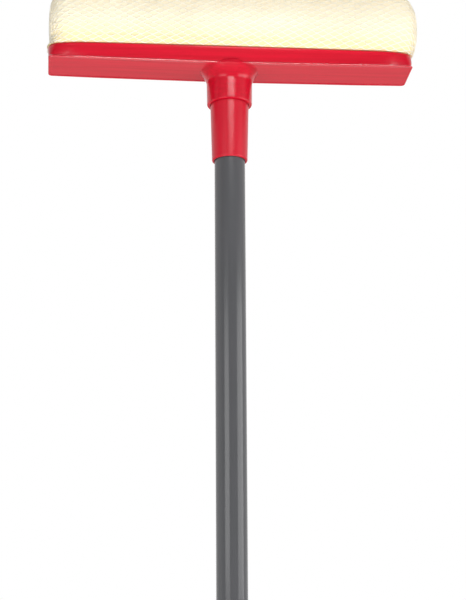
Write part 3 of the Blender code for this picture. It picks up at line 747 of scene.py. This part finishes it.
def makeNet(settings, grid, normals, lengths, acrossLength):
    # Each pillar swings from side to side and meets its neighbours in turn
    pillars = int(acrossLength / (settings["pillarPitch"] * mm))
    steps = int(lengths.max() / (settings["step"] * mm))
    longShare = np.linspace(settings["tuck"], 1 - settings["tuck"], steps + 1)[None, :]
    number = np.arange(pillars)[:, None]
    middle = (number + 0.5) / pillars
    lastRow = grid.shape[0] - 1.001  # a little inside it, so that there is a next row
    row = np.clip(middle * (grid.shape[0] - 1), 0, lastRow)
    length = np.interp(row[:, 0], np.arange(len(lengths)), lengths)[:, None]
    half = halfMeshes(longShare, length)
    swing = np.arcsin(settings["swing"] * np.cos(math.pi * (half + number))) / math.pi
    rowAt = np.clip((middle + swing / pillars) * (grid.shape[0] - 1), 0, lastRow)
    longAt = np.broadcast_to(longShare * (grid.shape[1] - 1), rowAt.shape)

    def at(values):
        i = rowAt.astype(int)
        j = np.minimum(longAt.astype(int), grid.shape[1] - 2)
        a = (rowAt - i)[:, :, None]
        b = (longAt - j)[:, :, None]
        low = values[i, j] * (1 - b) + values[i, j + 1] * b
        return low * (1 - a) + (values[i + 1, j] * (1 - b) + values[i + 1, j + 1] * b) * a

    centre = at(grid)
    up = at(normals)
    ahead = np.gradient(centre, axis=1)
    side = atUnitLength(np.cross(ahead, up))
    wide = settings["halfWide"] * mm
    high = settings["halfHigh"] * mm
    line = centre + up * settings["lift"] * mm
    corners = np.stack([line + up * high, line + side * wide, line - up * high, line - side * wide], axis=2)
    points = corners.reshape(-1, 3).tolist()
    faces = []
    for pillarNumber in range(pillars):
        first = pillarNumber * (steps + 1) * 4
        for i in range(steps):
            a = first + i * 4
            faces += [(a + k, a + (k + 1) % 4, a + 4 + (k + 1) % 4, a + 4 + k) for k in range(4)]
        faces.append((first, first + 3, first + 2, first + 1))
        last = first + steps * 4
        faces.append((last, last + 1, last + 2, last + 3))
    return meshObject("spongeNet", points, faces)


# Open-cell foam: warm cream and quite matte, clouded, with painted shade in its small pores and a deeper
# cream at its foot

foamLook = {
    "tones": ((0.35, "#f9ecce"), (0.65, "#faf0d4")), "cloud": 22.0,  # mm
    "shine": {"Roughness": 0.95, "Specular IOR Level": 0.15, "Sheen Weight": 0.15, "Sheen Roughness": 0.6},
    # The pores' colour is painted shade inside the foam's open cells
    "poreShadeColour": "#e8d69a", "poreWide": 0.75,  # mm
    "poreEdge": 0.30, "poreMiddle": 0.05,  # distances from a pore's middle, as shares of its width
    "poreShade": 0.55,  # share of the painted pore shade at a pore's middle
    "footColour": "#f6e4ac", "footClear": 17.0, "footFull": 3.0,  # mm above the foot over which it turns to that deeper cream
    "relief": (0.35, 0.3),
}


def openCellFoam(name, settings):
    material, tree, shader, place = newMaterial(name, settings["shine"])
    pores = addNode(
        tree, "ShaderNodeTexVoronoi", {"feature": "F1", "Scale": 1 / (settings["poreWide"] * mm)},
        {"Vector": place})
    cloud = addNode(
        tree, "ShaderNodeTexNoise", {"Scale": 1 / (settings["cloud"] * mm), "Detail": 3.0},
        {"Vector": place})
    cream = finishSurface(tree, shader, settings, cloud.outputs["Fac"], pores.outputs["Distance"])
    height = addNode(tree, "ShaderNodeSeparateXYZ", {}, {"Vector": place}).outputs["Z"]
    clear = foamLow.z + settings["footClear"] * mm
    full = foamLow.z + settings["footFull"] * mm
    foot = addNode(tree, "ShaderNodeMapRange", {"From Min": clear, "From Max": full}, {"Value": height})
    tone = addNode(
        tree, "ShaderNodeMix", {"data_type": "RGBA", "B": linear(settings["footColour"])},
        {"Factor": foot.outputs[0], "A": cream})
    # Painted shade: each pore is darkened towards its middle
    edge, middle = settings["poreEdge"], settings["poreMiddle"]
    poreShadeMask = addNode(
        tree, "ShaderNodeMapRange", {"From Min": edge, "From Max": middle, "To Max": settings["poreShade"]},
        {"Value": pores.outputs["Distance"]})
    mix = addNode(
        tree, "ShaderNodeMix", {"data_type": "RGBA", "B": linear(settings["poreShadeColour"])},
        {"Factor": poreShadeMask.outputs[0], "A": tone.outputs["Result"]})
    tree.links.new(mix.outputs["Result"], shader.inputs["Base Color"])
    return material


# Knitted polyester yarn: near white, with the small sheen and the fine twist of its threads

yarnLook = {
    "tones": ((0.3, "#f4ebd4"), (0.7, "#fdf7e8")), "twist": 0.5,  # mm
    "shine": {"Roughness": 0.7, "Specular IOR Level": 0.3, "Sheen Weight": 0.25, "Sheen Roughness": 0.4},
    "relief": (0.3, 0.1),
}


def knittedYarn(name, settings):
    material, tree, shader, place = newMaterial(name, settings["shine"])
    twist = addNode(
        tree, "ShaderNodeTexNoise", {"Scale": 1 / (settings["twist"] * mm), "Detail": 2.0},
        {"Vector": place})
    finishSurface(tree, shader, settings, twist.outputs["Fac"], twist.outputs["Fac"])
    return material


foamTree = pressedFoam(foamSet)
foamPlaces, foamLengths, foamRound = foamGrid(foamTree, foamSet)
foamUp = gridNormals(foamPlaces)
foam = makeFoam(foamSet, foamPlaces, foamUp, foamLengths, foamRound)
wear(foam, openCellFoam("creamOpenCellFoam", foamLook))
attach(foam, "sponge")
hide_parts("sponge_core")
net = makeNet(netSet, foamPlaces, foamUp, foamLengths, foamRound)
wear(net, knittedYarn("creamKnittedYarn", yarnLook))
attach(net, "sponge")
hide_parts("sponge_net")
print("sponge and net made", len(foam.data.polygons), len(net.data.polygons))


bpy.context.scene.view_settings.view_transform = "Standard"
